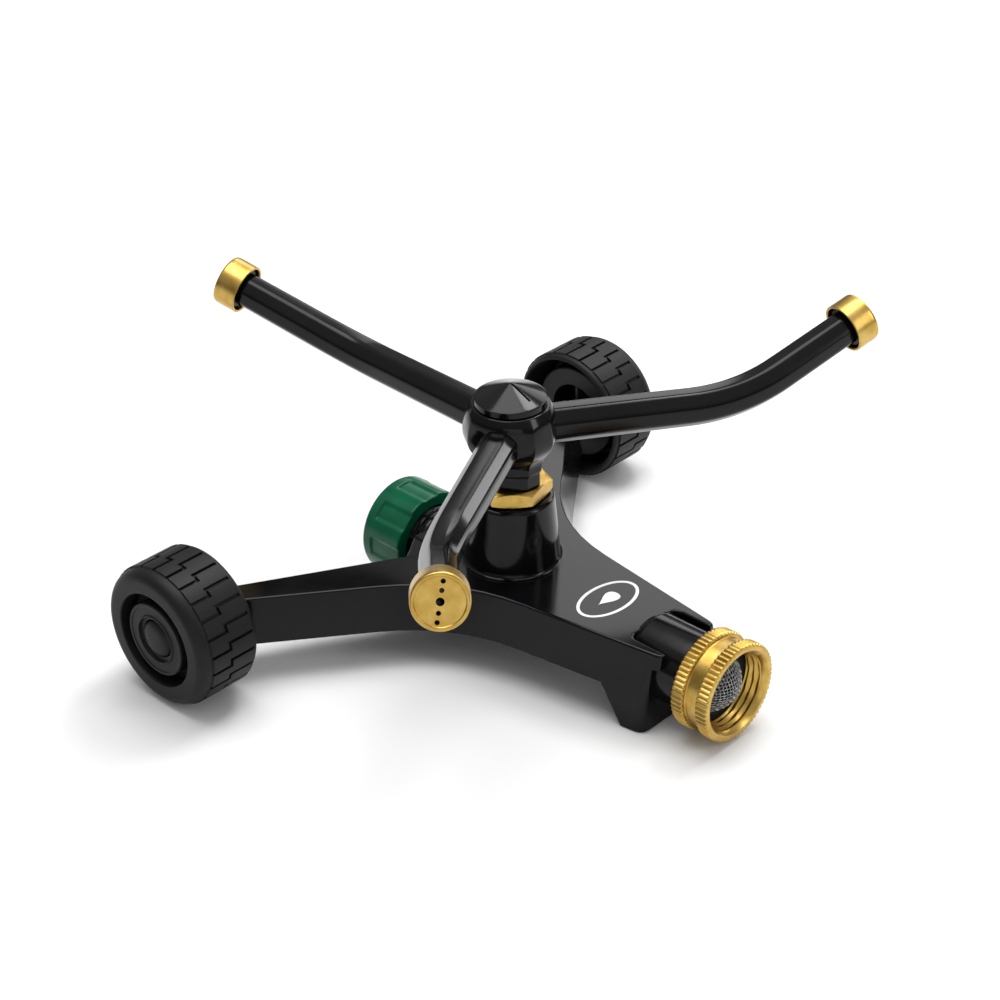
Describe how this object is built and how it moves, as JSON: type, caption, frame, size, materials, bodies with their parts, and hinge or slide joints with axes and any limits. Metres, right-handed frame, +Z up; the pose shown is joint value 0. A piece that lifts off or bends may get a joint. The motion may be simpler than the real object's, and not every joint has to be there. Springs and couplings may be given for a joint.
{
  "type": "rotary garden sprinkler",
  "caption": "Lawn sprinkler with a spinning head of bent arms and brass nozzles on a Y-shaped cast base with wheels, a foot and a swivel hose coupling.",
  "frame": {"origin": "middle of the front foot's flat sole, on the ground", "axes": "+Z up along the rotor's axis, -Y the way the hose coupling faces, +X along the wheel axles to the right wheel"},
  "size_m": [0.2263, 0.2251, 0.1],
  "materials": {
    "black_paint": "gloss black baked paint over die-cast metal",
    "brass": "satin machined brass with turned lines",
    "steel": "plain bright steel pin",
    "steel_mesh": "woven stainless wire",
    "green_plastic": "moulded dark green plastic, semi-gloss",
    "wheel_plastic": "moulded black plastic, satin",
    "black_plastic": "moulded black plastic, satin",
    "rubber": "soft black rubber",
    "nylon": "natural nylon"
  },
  "bodies": {
    "base": {"base_casting": "black_paint", "inlet_tailpiece": "brass", "bearing_nut": "brass", "thrust_washer": "nylon", "spindle_seal": "rubber", "axle_left": "steel", "axle_right": "steel", "wheel_washer_left": "nylon", "wheel_washer_right": "nylon"},
    "head": {"rotor_hub": "black_paint", "rotor_cap": "black_paint", "rotor_cap_seal": "rubber", "spindle": "brass", "arm_tube_1": "black_paint", "nozzle_collar_1": "black_plastic", "arm_tube_2": "black_paint", "nozzle_collar_2": "black_plastic", "arm_tube_3": "black_paint", "nozzle_collar_3": "black_plastic"},
    "coupling": {"hose_coupling": "brass", "hose_washer": "rubber", "filter_screen": "steel_mesh"},
    "cap_washer": {"end_cap_washer": "rubber"},
    "cap": {"end_cap": "green_plastic"},
    "wheel_l": {"wheel_left": "wheel_plastic", "hub_cap_left": "wheel_plastic"},
    "wheel_r": {"wheel_right": "wheel_plastic", "hub_cap_right": "wheel_plastic"},
    "nozzle_1": {"nozzle_washer_1": "rubber", "nozzle_cap_1": "brass"},
    "nozzle_2": {"nozzle_washer_2": "rubber", "nozzle_cap_2": "brass"},
    "nozzle_3": {"nozzle_washer_3": "rubber", "nozzle_cap_3": "brass"}
  },
  "joints": [
    {"name": "head_spin", "type": "hinge", "parent": "base", "child": "head", "pos_m": [0, 0.0683, 0.0762], "axis": [0, 0, 1], "continuous": true},
    {"name": "wheel_left_roll", "type": "hinge", "parent": "base", "child": "wheel_l", "pos_m": [-0.098, 0.122, 0.0243], "axis": [1, 0, 0], "continuous": true},
    {"name": "wheel_right_roll", "type": "hinge", "parent": "base", "child": "wheel_r", "pos_m": [0.098, 0.122, 0.0243], "axis": [1, 0, 0], "continuous": true},
    {"name": "coupling_swivel", "type": "hinge", "parent": "base", "child": "coupling", "pos_m": [0, -0.02105, 0.018], "axis": [0, 1, 0], "continuous": true},
    {"name": "end_cap_travel", "type": "slide", "parent": "base", "child": "cap_washer", "axis": [0, 1, 0], "range_m": [0, 0.00885]},
    {"name": "end_cap_unscrew", "type": "hinge", "parent": "cap_washer", "child": "cap", "pos_m": [0, 0.1183, 0.018], "axis": [0, 1, 0], "range_deg": [0, 1440]},
    {"name": "nozzle_1_set", "type": "hinge", "parent": "head", "child": "nozzle_1", "pos_m": [-0.10372, -0.00278, 0.0919], "axis": [-0.6594, -0.6843, 0.3113], "range_deg": [-90, 90]},
    {"name": "nozzle_2_set", "type": "hinge", "parent": "head", "child": "nozzle_2", "pos_m": [0.11342, 0.01402, 0.0919], "axis": [0.9223, -0.229, 0.3113], "range_deg": [-90, 90]},
    {"name": "nozzle_3_set", "type": "hinge", "parent": "head", "child": "nozzle_3", "pos_m": [-0.0097, 0.19367, 0.0919], "axis": [-0.2629, 0.9132, 0.3113], "range_deg": [-90, 90]}
  ],
  "couplings": [
    {"joint": "end_cap_travel", "follows": "end_cap_unscrew", "m_per_rad": 0.00035152}
  ]
}
